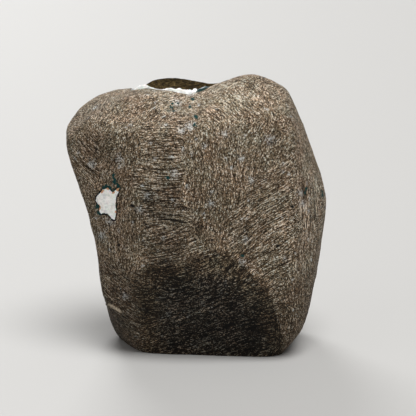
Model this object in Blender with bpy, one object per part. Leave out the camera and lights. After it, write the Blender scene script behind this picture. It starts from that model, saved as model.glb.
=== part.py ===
"""Quartz geode: a ground basalt block with a crystal-lined hollow, in metres, +Z up.

The origin is on the flat base. The closed, scored back is towards -Y. The hollow breaks out of
the top, just behind the middle, and of the far side (+Y). Three solids: the basalt, the quartz
crust that lines the hollow, and the chalcedony that fills a small vesicle in the left of the back.
"""

import math
import random

import bmesh
import bpy
from mathutils import Vector, noise

MM = 0.001
FIT_GAP = 0.3 * MM

# Basalt block. It is the space inside its ground faces. A face is (azimuth, elevation, distance):
# the way it looks, in degrees from -Y towards +X and above the horizon, and how far it lies from
# the heart of the block, in millimetres.
HEART = Vector((0, 0, 78 * MM))
GROUND_FACES = {
    "back_middle": (-8, 1, 54),
    "back_right": (12, 4, 52.5),
    "back_left": (-38, -3, 60),
    "back_top": (-8, 57, 71.5),
    "back_foot": (-6, -28, 62),
    "left_side": (-85, -12, 65.5),
    "left_shoulder": (-73, 45, 87),
    "left_crown": (-76, 75, 78),
    "left_foot": (-59, -37, 78),
    "left_toe": (-120, -42, 88),
    "right_side": (57, 3, 68),
    "right_shoulder": (84, 21, 74.5),
    "right_foot": (82, -8, 74),
    "right_toe": (87, -37, 89.5),
    "back_toe": (42, -40, 92),
    "crown": (12, 87, 72),
    "hump_back": (20, 50, 80),
    "hump_right": (84, 40, 84.5),
    "front_middle": (180, 4, 53),
    "front_left": (222, 6, 60),
    "front_right": (136, 4, 64),
    "front_top": (184, 48, 83),
    "front_foot": (176, -32, 64),
}
ARRIS_SHARPNESS = 22
# A swelling of the ground faces is (azimuth, elevation, half width in degrees, height).
SWELLINGS = {
    "left_waist": (-90, -11, 29, -6.5),
    "hump": (78, 68, 12, 9.5),
    "crest": (205, 60, 11, 3.5),
}
UNEVENNESS = 0.6 * MM
UNEVENNESS_SIZE = 28 * MM

# Hollow. Its wall is the outer skin of some overlapping round lobes, seen from one point that is
# inside them all. A lobe is (centre, radii), in millimetres.
HOLLOW_HEART = Vector((4, 20, 98)) * MM
LOBES = {
    "body": ((-2, 10, 88), (42, 32, 48)),
    "top": ((-10, 6, 118), (38, 26, 44)),
    "mouth": ((16, 44, 86), (38, 42, 46)),
    "nook": ((24, 36, 103), (38, 34, 29)),
    "pocket": ((-8, 40, 76), (36, 36, 36)),
}
LOBE_BLEND = 14
LUMP = 3 * MM
LUMP_SIZE = 22 * MM
# The far wall of the top opening has a weathered lip, hollowed out by one more lobe.
LIP = ((-9, 17, 160), (32, 24, 25))
LIP_CLEARANCE = 1.15  # no crystal's foot is nearer to the lobe's centre than this share of it

# Crust. Its rind is even, and every point of the lattice inside it is a crystal's tip.
RIND = 3.2 * MM
CRYSTAL_LENGTH = (2.5 * MM, 9 * MM, 4.5 * MM)  # shortest, longest, commonest
TIP_LEAN = 0.022
CRYSTAL_SEED = 7

# Chalcedony. The outline is (across, up) in millimetres, as seen looking at the patch.
PATCH_AT = (-52, 10.5)
PATCH_FACING = (-38, -3)
PATCH_DEPTH = 3 * MM
PATCH_OUTLINE = [
    (9.3, 9.0), (8.2, 4.5), (5.9, 0.2), (6.0, -5.7), (5.3, -9.2), (3.6, -9.6), (0.5, -7.2),
    (-2.0, -5.9), (-4.7, -6.6), (-7.6, -3.9), (-5.8, -2.6), (-7.4, -1.2), (-9.0, 1.4),
    (-7.4, 3.7), (-5.5, 4.9), (-3.6, 7.4), (-0.9, 8.6), (1.6, 7.6), (4.4, 6.0), (6.4, 8.4),
]

BLOCK_DETAIL = 5
BLOCK_THINNING = 0.5
HOLLOW_DETAIL = 4


def facing(azimuth, elevation):
    """Unit vector looking that way: azimuth from -Y towards +X, elevation above the horizon."""
    across, up = math.radians(azimuth), math.radians(elevation)
    return Vector(
        (math.sin(across) * math.cos(up), -math.cos(across) * math.cos(up), math.sin(up))
    )


def block_reach(way):
    """How far the block's surface is from its heart in the direction way."""
    press = 0.0
    for azimuth, elevation, distance in GROUND_FACES.values():
        lean = facing(azimuth, elevation).dot(way)
        if lean > 0:
            press += (lean / (distance * MM)) ** ARRIS_SHARPNESS
    reach = press ** (-1 / ARRIS_SHARPNESS)
    for azimuth, elevation, half_width, height in SWELLINGS.values():
        off = math.degrees(facing(azimuth, elevation).angle(way))
        reach += height * MM * math.exp(-((off / half_width) ** 2))
    return reach + UNEVENNESS * noise.noise((HEART + reach * way) / UNEVENNESS_SIZE)


def lobe_reach(lobe, start, way):
    """How far the wall of an ellipsoid is from the point start inside it, in the direction way."""
    centre, radii = lobe
    offset = Vector((start[i] / MM - centre[i]) / radii[i] for i in range(3))
    stride = Vector(way[i] / radii[i] for i in range(3))
    steep = stride.dot(stride)
    lean = stride.dot(offset)
    return (math.sqrt(lean**2 + steep * (1 - offset.dot(offset))) - lean) / steep * MM


def lump(point):
    """How far the wall of a hollow stands out at a point."""
    return LUMP * noise.noise(point / LUMP_SIZE)


def hollow_reach(way):
    """How far the hollow's wall is from the hollow's heart in the direction way."""
    reaches = [lobe_reach(lobe, HOLLOW_HEART, way) for lobe in LOBES.values()]
    reach = sum(each**LOBE_BLEND for each in reaches) ** (1 / LOBE_BLEND)
    return reach + lump(HOLLOW_HEART + reach * way)


def in_rock(point):
    """Whether a point is inside the block and clear of its weathered lip."""
    offset = point - HEART
    centre, radii = LIP
    from_lip = Vector((point[i] / MM - centre[i]) / radii[i] for i in range(3))
    return offset.length < block_reach(offset.normalized()) and from_lip.length > LIP_CLEARANCE


def ball(detail):
    """A mesh of the unit icosphere."""
    mesh = bmesh.new()
    bmesh.ops.create_icosphere(mesh, subdivisions=detail, radius=1)
    return mesh


def make_object(name, mesh):
    """A scene object from a bmesh, which is freed."""
    data = bpy.data.meshes.new(name)
    mesh.to_mesh(data)
    mesh.free()
    thing = bpy.data.objects.new(name, data)
    bpy.context.scene.collection.objects.link(thing)
    return thing


def make_cutter(thing):
    """Keep an object as a shape that others are cut with."""
    thing.hide_render = True
    thing.display_type = "WIRE"
    return thing


def cut(thing, cutter, operation="DIFFERENCE"):
    """Give thing a Boolean modifier."""
    boolean = thing.modifiers.new(f"{operation.lower()}_{cutter.name}", "BOOLEAN")
    boolean.operation = operation
    boolean.object = cutter


def paint(thing, colour, roughness):
    """Give thing a plain material of its own."""
    material = bpy.data.materials.new(thing.name)
    material.use_nodes = True
    shader = material.node_tree.nodes["Principled BSDF"]
    shader.inputs["Base Color"].default_value = (*colour, 1)
    shader.inputs["Roughness"].default_value = roughness
    shader.inputs["Metallic"].default_value = 0
    thing.data.materials.append(material)


def block(name):
    """The whole block, cut off flat at its base."""
    mesh = ball(BLOCK_DETAIL)
    for vertex in mesh.verts:
        way = vertex.co.normalized()
        vertex.co = HEART + way * block_reach(way)
    sawn = bmesh.ops.bisect_plane(
        mesh,
        geom=mesh.verts[:] + mesh.edges[:] + mesh.faces[:],
        plane_co=(0, 0, 0),
        plane_no=(0, 0, -1),
        clear_outer=True,
    )
    rim = [part for part in sawn["geom_cut"] if isinstance(part, bmesh.types.BMEdge)]
    bmesh.ops.edgenet_fill(mesh, edges=rim)
    bmesh.ops.recalc_face_normals(mesh, faces=mesh.faces)
    thing = make_object(name, mesh)
    thinned = thing.modifiers.new("thinned", "DECIMATE")
    thinned.ratio = BLOCK_THINNING
    return thing


def hollow(name, shrink=0.0):
    """The space that the gas bubble left in the basalt, out to past the block's faces."""
    mesh = ball(HOLLOW_DETAIL)
    for vertex in mesh.verts:
        way = vertex.co.normalized()
        vertex.co = HOLLOW_HEART + way * (hollow_reach(way) - shrink)
    return make_object(name, mesh)


def lip(name):
    """The lobe that hollows out the far wall's weathered lip."""
    centre, radii = LIP
    mesh = ball(HOLLOW_DETAIL)
    for vertex in mesh.verts:
        way = vertex.co.normalized()
        point = Vector(centre[i] + way[i] * radii[i] for i in range(3)) * MM
        vertex.co = point + way * lump(point)
    return make_object(name, mesh)


def cavity(name):
    """The open space inside the crust, whose wall is six-sided crystal points."""
    chance = random.Random(CRYSTAL_SEED)
    mesh = ball(HOLLOW_DETAIL)
    tips = set(mesh.verts)
    seams = mesh.edges[:]
    bmesh.ops.poke(mesh, faces=mesh.faces[:])
    bmesh.ops.rotate_edges(mesh, edges=seams, use_ccw=False)
    for vertex in mesh.verts:
        way = vertex.co.normalized()
        foot = hollow_reach(way) - RIND
        if vertex in tips and in_rock(HOLLOW_HEART + way * foot):
            way = Vector(part + chance.uniform(-TIP_LEAN, TIP_LEAN) for part in way).normalized()
            foot = hollow_reach(way) - RIND - chance.triangular(*CRYSTAL_LENGTH)
        vertex.co = HOLLOW_HEART + way * foot
    return make_object(name, mesh)


def patch_prism(name, grow=0.0):
    """The vesicle's outline pushed through the block's face, from PATCH_DEPTH below it."""
    towards = facing(*PATCH_AT)
    spot = HEART + towards * block_reach(towards)
    outward = facing(*PATCH_FACING)
    across = Vector((0, 0, 1)).cross(outward).normalized()
    up = outward.cross(across)
    mesh = bmesh.new()
    floor = []
    for right, high in PATCH_OUTLINE:
        point = Vector((right, high)) * MM
        point += point.normalized() * grow
        floor.append(mesh.verts.new(spot + across * point.x + up * point.y))
    base = mesh.faces.new(floor)
    bmesh.ops.translate(mesh, verts=floor, vec=-outward * (PATCH_DEPTH + grow))
    raised = bmesh.ops.extrude_face_region(mesh, geom=[base], use_keep_orig=True)
    lid = [part for part in raised["geom"] if isinstance(part, bmesh.types.BMVert)]
    bmesh.ops.translate(mesh, verts=lid, vec=outward * 4 * PATCH_DEPTH)
    bmesh.ops.recalc_face_normals(mesh, faces=mesh.faces)
    return make_object(name, mesh)


for old in list(bpy.data.objects):
    bpy.data.objects.remove(old)

hollow_cutter = make_cutter(hollow("hollow_cutter"))
lip_cutter = make_cutter(lip("lip_cutter"))
cavity_cutter = make_cutter(cavity("cavity_cutter"))
recess_cutter = make_cutter(patch_prism("recess_cutter", grow=FIT_GAP))
block_cutter = make_cutter(block("block_cutter"))
cut(block_cutter, lip_cutter)

basalt = block("basalt_matrix")
cut(basalt, hollow_cutter)
cut(basalt, lip_cutter)
cut(basalt, recess_cutter)
paint(basalt, (0.16, 0.135, 0.105), 0.85)

crust = hollow("quartz_crust", shrink=FIT_GAP)
cut(crust, cavity_cutter)
cut(crust, block_cutter, "INTERSECT")
paint(crust, (0.82, 0.83, 0.84), 0.15)

patch = patch_prism("chalcedony_patch")
cut(patch, block_cutter, "INTERSECT")
paint(patch, (0.68, 0.68, 0.65), 0.35)
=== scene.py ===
import itertools
import math

import bpy
import numpy as np
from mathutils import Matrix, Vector, noise


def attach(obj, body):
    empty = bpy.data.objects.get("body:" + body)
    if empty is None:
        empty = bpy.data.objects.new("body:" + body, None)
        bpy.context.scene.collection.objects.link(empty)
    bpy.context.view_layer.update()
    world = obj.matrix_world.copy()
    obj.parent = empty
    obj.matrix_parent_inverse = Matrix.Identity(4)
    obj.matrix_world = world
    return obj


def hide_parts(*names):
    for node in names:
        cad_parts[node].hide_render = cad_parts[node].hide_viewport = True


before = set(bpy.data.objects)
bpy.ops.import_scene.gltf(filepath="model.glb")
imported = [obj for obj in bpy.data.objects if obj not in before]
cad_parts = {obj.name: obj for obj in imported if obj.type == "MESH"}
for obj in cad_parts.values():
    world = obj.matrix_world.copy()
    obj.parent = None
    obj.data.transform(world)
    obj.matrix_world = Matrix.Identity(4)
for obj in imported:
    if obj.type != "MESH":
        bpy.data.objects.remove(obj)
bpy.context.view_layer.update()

# Every length here is in millimetres until it is written into a mesh. Ways are (azimuth, elevation)
# in degrees, azimuth from -Y towards +X. The closed back of the geode looks towards -Y.
mm = 0.001
farAway = 1e6


def facing(azimuth, elevation):
    across, up = np.radians(azimuth), np.radians(elevation)
    return np.array((np.sin(across) * np.cos(up), -np.cos(across) * np.cos(up), np.sin(up)))


def lengthsOf(vectors):
    return np.linalg.norm(vectors, axis=-1)


def unit(vectors):
    return vectors / np.maximum(lengthsOf(vectors)[..., None], 1e-9)


def softNoise(points, size, shift):
    scaled = np.asarray(points, float) / size + shift
    return np.array([noise.noise(Vector(point)) for point in scaled])


def roughen(points, layers):  # each layer of noise is (height, size, shift)
    return sum(height * softNoise(points, *layer) for height, *layer in layers)


def fade(value, low, high):  # 0 below low, 1 above high, smooth between
    share = np.clip((value - low) / (high - low), 0, 1)
    return share * share * (3 - 2 * share)


def clearSelection():
    if bpy.context.mode != "OBJECT":
        bpy.ops.object.mode_set(mode="OBJECT")
    bpy.ops.object.select_all(action="DESELECT")


def pick(thing):
    clearSelection()
    thing.select_set(True)
    bpy.context.view_layer.objects.active = thing


def addBall(name, detail):
    clearSelection()
    bpy.ops.mesh.primitive_ico_sphere_add(subdivisions=detail, radius=1, location=(0, 0, 0))
    thing = bpy.context.object
    thing.name = thing.data.name = name
    return thing


def readRows(rows, field, width=3, kind=float):
    flat = np.empty(len(rows) * width, kind)
    rows.foreach_get(field, flat)
    return flat.reshape(-1, width)


def getPoints(thing):
    return readRows(thing.data.vertices, "co")


def setPoints(thing, points):
    thing.data.vertices.foreach_set("co", np.asarray(points, float).ravel())
    thing.data.update()


def getNormals(thing):
    return readRows(thing.data.vertex_normals, "vector")


def faceMiddles(thing):
    return readRows(thing.data.polygons, "center")


def editFaces(thing, chosen):  # into edit mode with just those faces selected
    pick(thing)
    bpy.ops.object.mode_set(mode="EDIT")
    bpy.ops.mesh.select_mode(type="FACE")
    bpy.ops.mesh.select_all(action="DESELECT")
    bpy.ops.object.mode_set(mode="OBJECT")
    thing.data.polygons.foreach_set("select", np.asarray(chosen, bool))
    bpy.ops.object.mode_set(mode="EDIT")


def editAll(thing):  # into edit mode with everything selected
    pick(thing)
    bpy.ops.object.mode_set(mode="EDIT")
    bpy.ops.mesh.select_all(action="SELECT")


def leaveEdit(outwards=False):  # every face a triangle
    bpy.ops.mesh.select_all(action="SELECT")
    bpy.ops.mesh.quads_convert_to_tris()
    if outwards:
        bpy.ops.mesh.normals_make_consistent(inside=False)
    bpy.ops.object.mode_set(mode="OBJECT")


def cutWith(thing, cutter, operation="DIFFERENCE"):
    pick(thing)
    boolean = thing.modifiers.new("cut", "BOOLEAN")
    boolean.operation = operation
    boolean.solver = "MANIFOLD"
    boolean.object = cutter
    bpy.ops.object.modifier_apply(modifier="cut")


def remove(*things):
    for thing in things:
        bpy.data.objects.remove(thing)


def dress(thing, material, sharpAngle):
    thing.data.materials.clear()
    thing.data.materials.append(material)
    pick(thing)
    bpy.ops.object.shade_smooth_by_angle(angle=math.radians(sharpAngle))


def storeVectors(thing, name, values, domain="POINT"):
    layer = thing.data.attributes.new(name, "FLOAT_VECTOR", domain)
    layer.data.foreach_set("vector", np.asarray(values, float).ravel())


def newMaterial(name, roughness, **sockets):
    material = bpy.data.materials.new(name)
    material.use_nodes = True
    tree = material.node_tree
    shader = tree.nodes["Principled BSDF"]
    shader.inputs["Roughness"].default_value = roughness
    for socket, value in sockets.items():
        shader.inputs[socket.replace("_", " ")].default_value = value
    return material, tree, shader


def addNode(tree, kind, inputs=(), **settings):  # inputs are numbers, tuples or other nodes' outputs
    node = tree.nodes.new("ShaderNode" + kind)
    for setting, value in settings.items():
        setattr(node, setting, value)
    for socket, value in dict(inputs).items():
        if isinstance(value, (int, float, tuple)):
            node.inputs[socket].default_value = value
        else:
            tree.links.new(value, node.inputs[socket])
    return node


def attributeOf(tree, name):
    return addNode(tree, "Attribute", attribute_name=name).outputs["Vector"]


def split(tree, vector):
    return addNode(tree, "SeparateXYZ", {0: vector}).outputs.values()


def stretch(tree, vector, scale, place=(0, 0, 0)):
    inputs = {"Vector": vector, "Scale": scale, "Location": place}
    return addNode(tree, "Mapping", inputs).outputs["Vector"]


def inMillimetres(tree):
    return stretch(tree, addNode(tree, "TexCoord").outputs["Object"], (1 / mm, 1 / mm, 1 / mm))


def cloud(tree, vector, scale=1.0, detail=3.0, roughness=0.55, distortion=0.0):
    inputs = {"Vector": vector, "Scale": scale, "Detail": detail}
    inputs |= {"Roughness": roughness, "Distortion": distortion}
    return addNode(tree, "TexNoise", inputs).outputs["Fac"]


def cells(tree, vector):
    return addNode(tree, "TexVoronoi", {"Vector": vector, "Scale": 1}).outputs["Color"]


def maths(tree, operation, first, second=0.0, clamp=False):
    return addNode(tree, "Math", {0: first, 1: second}, operation=operation, use_clamp=clamp).outputs[0]


def spread(tree, value, low, high, newLow=0.0, newHigh=1.0, way="LINEAR"):
    inputs = {"Value": value, "From Min": low, "From Max": high, "To Min": newLow, "To Max": newHigh}
    return addNode(tree, "MapRange", inputs, interpolation_type=way).outputs["Result"]


def ease(tree, value, low, high, newLow=0.0, newHigh=1.0):
    return spread(tree, value, low, high, newLow, newHigh, "SMOOTHSTEP")


def addUp(tree, *parts):  # sum of (value, low, high): each value taken from 0..1 to low..high
    total = 0.0
    for value, low, high in parts:
        total = maths(tree, "ADD", total, spread(tree, value, 0.0, 1.0, low, high))
    return total


def sway(tree, value, pattern, low, high, fromLow=0.3, fromHigh=0.7):  # value moved by a pattern
    return maths(tree, "ADD", value, spread(tree, pattern, fromLow, fromHigh, low, high))


def ramp(tree, value, stops):
    node = addNode(tree, "ValToRGB", {"Fac": value})
    elements = node.color_ramp.elements
    while len(elements) < len(stops):
        elements.new(0.5)
    for element, (place, colour) in zip(elements, stops):
        element.position = place
        element.color = (*colour, 1)
    return node.outputs["Color"]


def blend(tree, share, first, second, way="MIX"):
    first, second = ((*value, 1) if isinstance(value, tuple) else value for value in (first, second))
    inputs = {0: share, 6: first, 7: second}  # the sockets for colours
    return addNode(tree, "Mix", inputs, data_type="RGBA", blend_type=way).outputs[2]


def bump(tree, height, distance, strength):
    inputs = {"Height": height, "Distance": distance * mm, "Strength": strength}
    return addNode(tree, "Bump", inputs).outputs["Normal"]


cameraSettings = {
    "aim": (6.4, 0, 80),
    "distance": 700,
    "elevation": 10,
    "lens": 104,
    "sensor": 36,
    "sheet": -52,  # y of the upright sheet that marks on the back are drawn on, as the camera sees them
}
elevation = cameraSettings["elevation"]
eye = cameraSettings["aim"] + facing(0, elevation) * cameraSettings["distance"]
clearSelection()
bpy.ops.object.camera_add(location=eye * mm, rotation=(math.radians(90 - elevation), 0, 0))
camera = bpy.context.object
camera.data.lens = cameraSettings["lens"]
camera.data.sensor_width = cameraSettings["sensor"]
camera.data.clip_start = 0.01
bpy.context.scene.camera = camera


def onDrawing(points):  # (across, up) of a point on that sheet
    reach = (cameraSettings["sheet"] - eye[1]) / (points[:, 1] - eye[1])
    across = eye[0] + (points[:, 0] - eye[0]) * reach
    up = eye[2] + (points[:, 2] - eye[2]) * reach
    return np.stack([across, up], 1)


print("camera placed")

block = {
    "heart": (0, 0, 78),
    "groundFaces": [  # (azimuth, elevation, distance from the heart)
        (-8, 1, 54), (12, 4, 52.5), (-38, -3, 60), (-8, 57, 71.5), (-6, -28, 62),
        (-85, -12, 65.5), (-73, 45, 87), (-76, 75, 78), (-59, -37, 78), (-120, -42, 88),
        (57, 3, 68), (84, 21, 74.5), (82, -8, 74), (87, -37, 89.5), (42, -40, 92),
        (12, 87, 72), (20, 50, 80), (84, 40, 84.5),
        (180, 4, 53), (222, 6, 60), (136, 4, 64), (184, 48, 83), (176, -32, 64),
    ],
    "arrisSharpness": 32,
    "swellings": [  # (azimuth, elevation, half width in degrees, height)
        (-90, -11, 29, -6.5), (78, 68, 12, 9.5), (205, 60, 11, 2.2),
    ],
    "unevenness": ((0.6, 28, 0),),
    "detail": 6,
}
heart = np.array(block["heart"], float)


def blockReach(ways):
    press = np.zeros(len(ways))
    for azimuth, elevation, distance in block["groundFaces"]:
        lean = ways @ facing(azimuth, elevation)
        press += (np.maximum(lean, 0) / distance) ** block["arrisSharpness"]
    reach = press ** (-1 / block["arrisSharpness"])
    for azimuth, elevation, halfWidth, height in block["swellings"]:
        off = np.degrees(np.arccos(np.clip(ways @ facing(azimuth, elevation), -1, 1)))
        reach = reach + height * np.exp(-((off / halfWidth) ** 2))
    return reach + roughen(heart + reach[:, None] * ways, block["unevenness"])


# A pass of the grinding disc is (across, up, lie, size): its middle on the drawing of the back, the
# way its grooves run, in degrees from level rising to the right, and how far it reaches.
grinding = {
    "passes": [
        (-52, 142, 52, 15), (-38, 142, 48, 14), (-58, 118, -40, 12), (-47, 116, 60, 12),
        (-38, 121, 80, 12), (-38, 85, 88, 15), (-38, 66, 88, 13), (-54, 66, 95, 12),
        (-47, 50, -35, 13), (-48, 28, -30, 14), (-37, 25, -35, 14), (-18, 146, 30, 14),
        (-2, 146, 5, 13), (-18, 125, 2, 14), (-18, 107, 0, 15), (-18, 88, 0, 15),
        (-16, 69, 17, 15), (2, 122, 90, 14), (2, 100, 90, 15), (15, 121, 88, 15),
        (15, 99, 87, 15), (9, 79, 78, 12), (29, 146, -40, 14), (15, 141, -35, 12),
        (43, 143, -50, 15), (34, 121, 62, 16), (43, 99, 28, 17), (40, 77, 30, 17),
        (28, 83, 36, 14), (36, 58, 30, 15), (-3, 60, 20, 14), (-20, 47, -4, 14),
        (-9, 38, 15, 15), (13, 39, 20, 15), (34, 38, 20, 14), (-20, 22, 20, 15),
        (2, 19, 22, 15), (26, 19, 22, 15), (55, 24, 85, 14), (59, 121, 100, 15),
        (62, 94, 92, 15), (60, 61, 85, 15), (57, 44, 90, 14), (44, 160, 0, 14),
        (-28, 158, 20, 14), (-60, 90, 70, 12),
    ],
    "wellLined": (0, 2, 15, 17, 20, 22, 28, 30, -30, -35, -40, 36, 85, 92, 100),  # lies
    "faintlyLined": 0.55,  # how clear the grooves of the other lies are
    "otherPasses": 90,  # over the sides, the far side and the foot
    "otherSize": (13, 19),
    "otherLined": (0.5, 1),
    "otherApart": 13,
    "dish": 0.55,  # how deep a pass is dished
    "dishShape": (1.25, 1.2),  # longer along the grooves, and shallower
    "feather": (0.12, 2.6),  # how far neighbouring passes run into each other, size
    "discRadius": 85,
    "gougesPerPass": 130,
    "gougeScatter": 1.5,  # share of the pass's size
    "gougeLength": (4, 12),  # half lengths
    "gougeWidth": (0.45, 0.85),  # half widths
    "gougeDepth": (0.04, 0.20),
    "deepGouges": (0.12, 1.6),  # share of them, times as deep
    "gougeSpread": 3,  # degrees
    "raised": 0.15,  # the ground face over the plain block
    "roughness": ((0.12, 2.1, 7.7), (0.25, 9.0, 1.3)),  # layers of (height, size, shift)
    "nearRim": ((138, 144), (-6, 2)),  # where its waves fade in: up, and out towards the back
    "nearRimWaves": [(-27, 10, 1.3), (-3, 9, -1.2)],  # (across, half width, height)
    "farRim": ((135, 142), (16, 24)),
    "farRimWaves": [(7, 9, -2.1), (-31.5, 6.5, -3.8)],
    "ledge": ((-48.8, 35.8), (-40.6, 30.8), 1.9),  # from, to, radius
    "ledgeHeight": 0.7,
    "ledgeSlope": 0.7,
    "fineWay": (0, 8),  # the closed back is meshed more finely
    "fineFrom": 0.18,
    "seed": 11,
}


def frameOf(normal, along):
    along = unit(along - normal * (along @ normal))
    return along, np.cross(normal, along), normal


def layOutPasses(points, normals):  # (middle, along, across, normal, size, how clearly lined)
    chance = np.random.default_rng(grinding["seed"])
    drawn = onDrawing(points)
    front = normals[:, 1] < -0.12
    passes = []
    for across, up, lie, size in grinding["passes"]:
        off = np.hypot(*(drawn - (across, up)).T) + np.where(front, 0, farAway)
        spot = int(np.argmin(off))
        normal = unit(normals[spot])
        slope = math.radians(lie)
        depth = -(normal[0] * math.cos(slope) + normal[2] * math.sin(slope)) / min(normal[1], -0.25)
        along = np.array((math.cos(slope), depth, math.sin(slope)))
        lined = 1.0 if lie in grinding["wellLined"] else grinding["faintlyLined"]
        passes.append((points[spot], *frameOf(normal, along), size, lined))
    taken = np.array([each[0] for each in passes])
    candidates = np.flatnonzero(normals[:, 1] > -0.3)
    chance.shuffle(candidates)
    for spot in candidates:
        if len(passes) >= len(grinding["passes"]) + grinding["otherPasses"]:
            break
        if np.min(lengthsOf(taken - points[spot])) < grinding["otherApart"]:
            continue
        directions = frameOf(unit(normals[spot]), chance.normal(size=3))
        size = chance.uniform(*grinding["otherSize"])
        passes.append((points[spot], *directions, size, chance.uniform(*grinding["otherLined"])))
        taken = np.vstack([taken, points[spot]])
    return passes


def passDepths(points, passes):  # each pass's dish over the points; the lowest one is the last cut
    depths = np.empty((len(passes), len(points)), np.float32)
    feather, featherSize = grinding["feather"]
    longer, shallower = grinding["dishShape"]
    ripples = [feather * softNoise(points, featherSize, shift) for shift in (3.1, 8.3, 15.7)]
    for row, (middle, along, across, normal, size, _) in enumerate(passes):
        offset = points - middle
        reach = (offset @ along / longer) ** 2 + (offset @ across) ** 2
        reach = reach + (offset @ normal * shallower) ** 2
        depths[row] = grinding["dish"] * (reach / size**2 * (1 + ripples[row % len(ripples)]) - 1)
    return depths


def inPass(points, onePass, number):  # (along, across, out) in a pass, bent to the disc's edge
    middle, along, across, normal = onePass[:4]
    offset = points - middle
    a, b, out = offset @ along, offset @ across, offset @ normal
    bend = (1 if number % 2 else -1) / (2 * grinding["discRadius"])
    return np.stack([a, b + bend * a * a, out], 1)


def gougeDepths(points, passes, owner):
    chance = np.random.default_rng(grinding["seed"] + 1)
    depths = np.zeros(len(points))
    count = grinding["gougesPerPass"]
    deepShare, deeper = grinding["deepGouges"]
    for number, onePass in enumerate(passes):
        reach = onePass[4] * grinding["gougeScatter"]
        starts = chance.uniform(-reach, reach, (count, 2))
        lengths = chance.uniform(*grinding["gougeLength"], count)
        widths = chance.uniform(*grinding["gougeWidth"], count)
        deeps = chance.uniform(*grinding["gougeDepth"], count)
        deeps = deeps * np.where(chance.random(count) < deepShare, deeper, 1)
        turns = np.radians(chance.normal(0, grinding["gougeSpread"], count))
        mine = np.flatnonzero(owner == number)
        if not len(mine):
            continue
        local = inPass(points[mine], onePass, number)
        a = local[:, :1] - starts[:, 0]
        b = local[:, 1:2] - starts[:, 1]
        along = a * np.cos(turns) + b * np.sin(turns)
        across = b * np.cos(turns) - a * np.sin(turns)
        cut = -deeps * (1 - (along / lengths) ** 2 - (across / widths) ** 2)
        depths[mine] = np.minimum(cut.min(1), 0)
    return depths


def spotField(points, drawn, front, spots):  # 1 in a spot's middle, 0 at its edge, below 0 outside
    outside = -2.0
    field = np.full(len(drawn), outside)
    for across, up, radius in spots:
        off = np.hypot(drawn[:, 0] - across, drawn[:, 1] - up)
        middle = points[np.argmin(np.where(front, off, farAway))]
        off = np.maximum(off, 0.6 * lengthsOf(points - middle))  # none runs on round a side
        field = np.maximum(field, 1 - off / radius)
    return np.where(front, field, outside)


def rimShare(points, up, out, side=-1):  # 1 high up and far out on the back's side, or on the far side
    return fade(points[:, 2], *up) * fade(side * points[:, 1], *out)


def spotsAlong(start, end, radius):  # a row of spots that run into each other, slimmer at the ends
    spots = []
    for share in np.linspace(0, 1, 16):
        across = start[0] + share * (end[0] - start[0])
        up = start[1] + share * (end[1] - start[1])
        spots.append((across, up, radius * (1 - 1.6 * (share - 0.5) ** 2)))
    return spots


basaltBlock = addBall("basaltBlock", block["detail"])
editAll(basaltBlock)
bpy.ops.mesh.subdivide(number_cuts=1)
bpy.ops.object.mode_set(mode="OBJECT")
middles = unit(faceMiddles(basaltBlock))
editFaces(basaltBlock, middles @ facing(*grinding["fineWay"]) > grinding["fineFrom"])
bpy.ops.mesh.subdivide(number_cuts=1)
leaveEdit()
ways = unit(getPoints(basaltBlock))
smoothPoints = heart + ways * blockReach(ways)[:, None]
setPoints(basaltBlock, smoothPoints)
smoothNormals = getNormals(basaltBlock)
passes = layOutPasses(smoothPoints, smoothNormals)
dishes = passDepths(smoothPoints, passes)
relief = np.clip(dishes.min(0), -grinding["dish"], grinding["dish"]) + grinding["raised"]
relief += gougeDepths(smoothPoints, passes, np.argmin(dishes, 0))
drawn = onDrawing(smoothPoints)
for rimOf, side in (("nearRim", -1), ("farRim", 1)):
    share = rimShare(smoothPoints, *grinding[rimOf], side)
    for across, halfWidth, height in grinding[rimOf + "Waves"]:
        relief += share * height * np.exp(-(((drawn[:, 0] - across) / halfWidth) ** 2))
ledge = spotField(smoothPoints, drawn, smoothNormals[:, 1] < 0, spotsAlong(*grinding["ledge"]))
relief += grinding["ledgeHeight"] * fade(ledge, 0, grinding["ledgeSlope"])
relief += roughen(smoothPoints, grinding["roughness"])
setPoints(basaltBlock, (smoothPoints + smoothNormals * relief[:, None]) * mm)
print("block ground to shape:", len(basaltBlock.data.polygons), "faces,", len(passes), "passes")

editAll(basaltBlock)
bpy.ops.mesh.bisect(
    plane_co=(0, 0, 0), plane_no=(0, 0, 1), use_fill=True, clear_inner=True, threshold=1e-6
)
leaveEdit()
print("base sawn flat")

hollow = {
    "heart": (4, 20, 98),
    "lobes": [  # (centre, radii)
        ((-2, 10, 88), (42, 32, 48)), ((-10, 6, 118), (38, 26, 44)), ((16, 44, 86), (38, 42, 46)),
        ((24, 36, 103), (38, 34, 29)), ((-8, 40, 76), (36, 36, 36)),
    ],
    "lobeBlend": 14,
    "lumps": ((3, 22, 0),),
    "lip": ((-9, 17, 160), (32, 24, 25)),  # weathered hollow behind the top opening
    "lipRoughness": ((0.5, 3.0, 5.0), (0.25, 1.4, 9.0)),
    "detail": 6,
}
hollowHeart = np.array(hollow["heart"], float)


def hollowReach(ways):
    total = np.zeros(len(ways))
    for centre, radii in hollow["lobes"]:
        offset = (hollowHeart - centre) / radii
        stride = ways / radii
        steep = (stride * stride).sum(1)
        lean = stride @ offset
        reach = (np.sqrt(lean**2 + steep * (1 - offset @ offset)) - lean) / steep
        total += reach ** hollow["lobeBlend"]
    reach = total ** (1 / hollow["lobeBlend"])
    return reach + roughen(hollowHeart + reach[:, None] * ways, hollow["lumps"])


def hollowPoints(ways, shrink=0):
    return hollowHeart + ways * (hollowReach(ways) - shrink)[:, None]


lipCentre, lipRadii = (np.array(part, float) for part in hollow["lip"])


def lipRadiiFrom(points):  # distance from the lip's middle, 1 at its surface
    return lengthsOf((points - lipCentre) / lipRadii)


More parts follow.
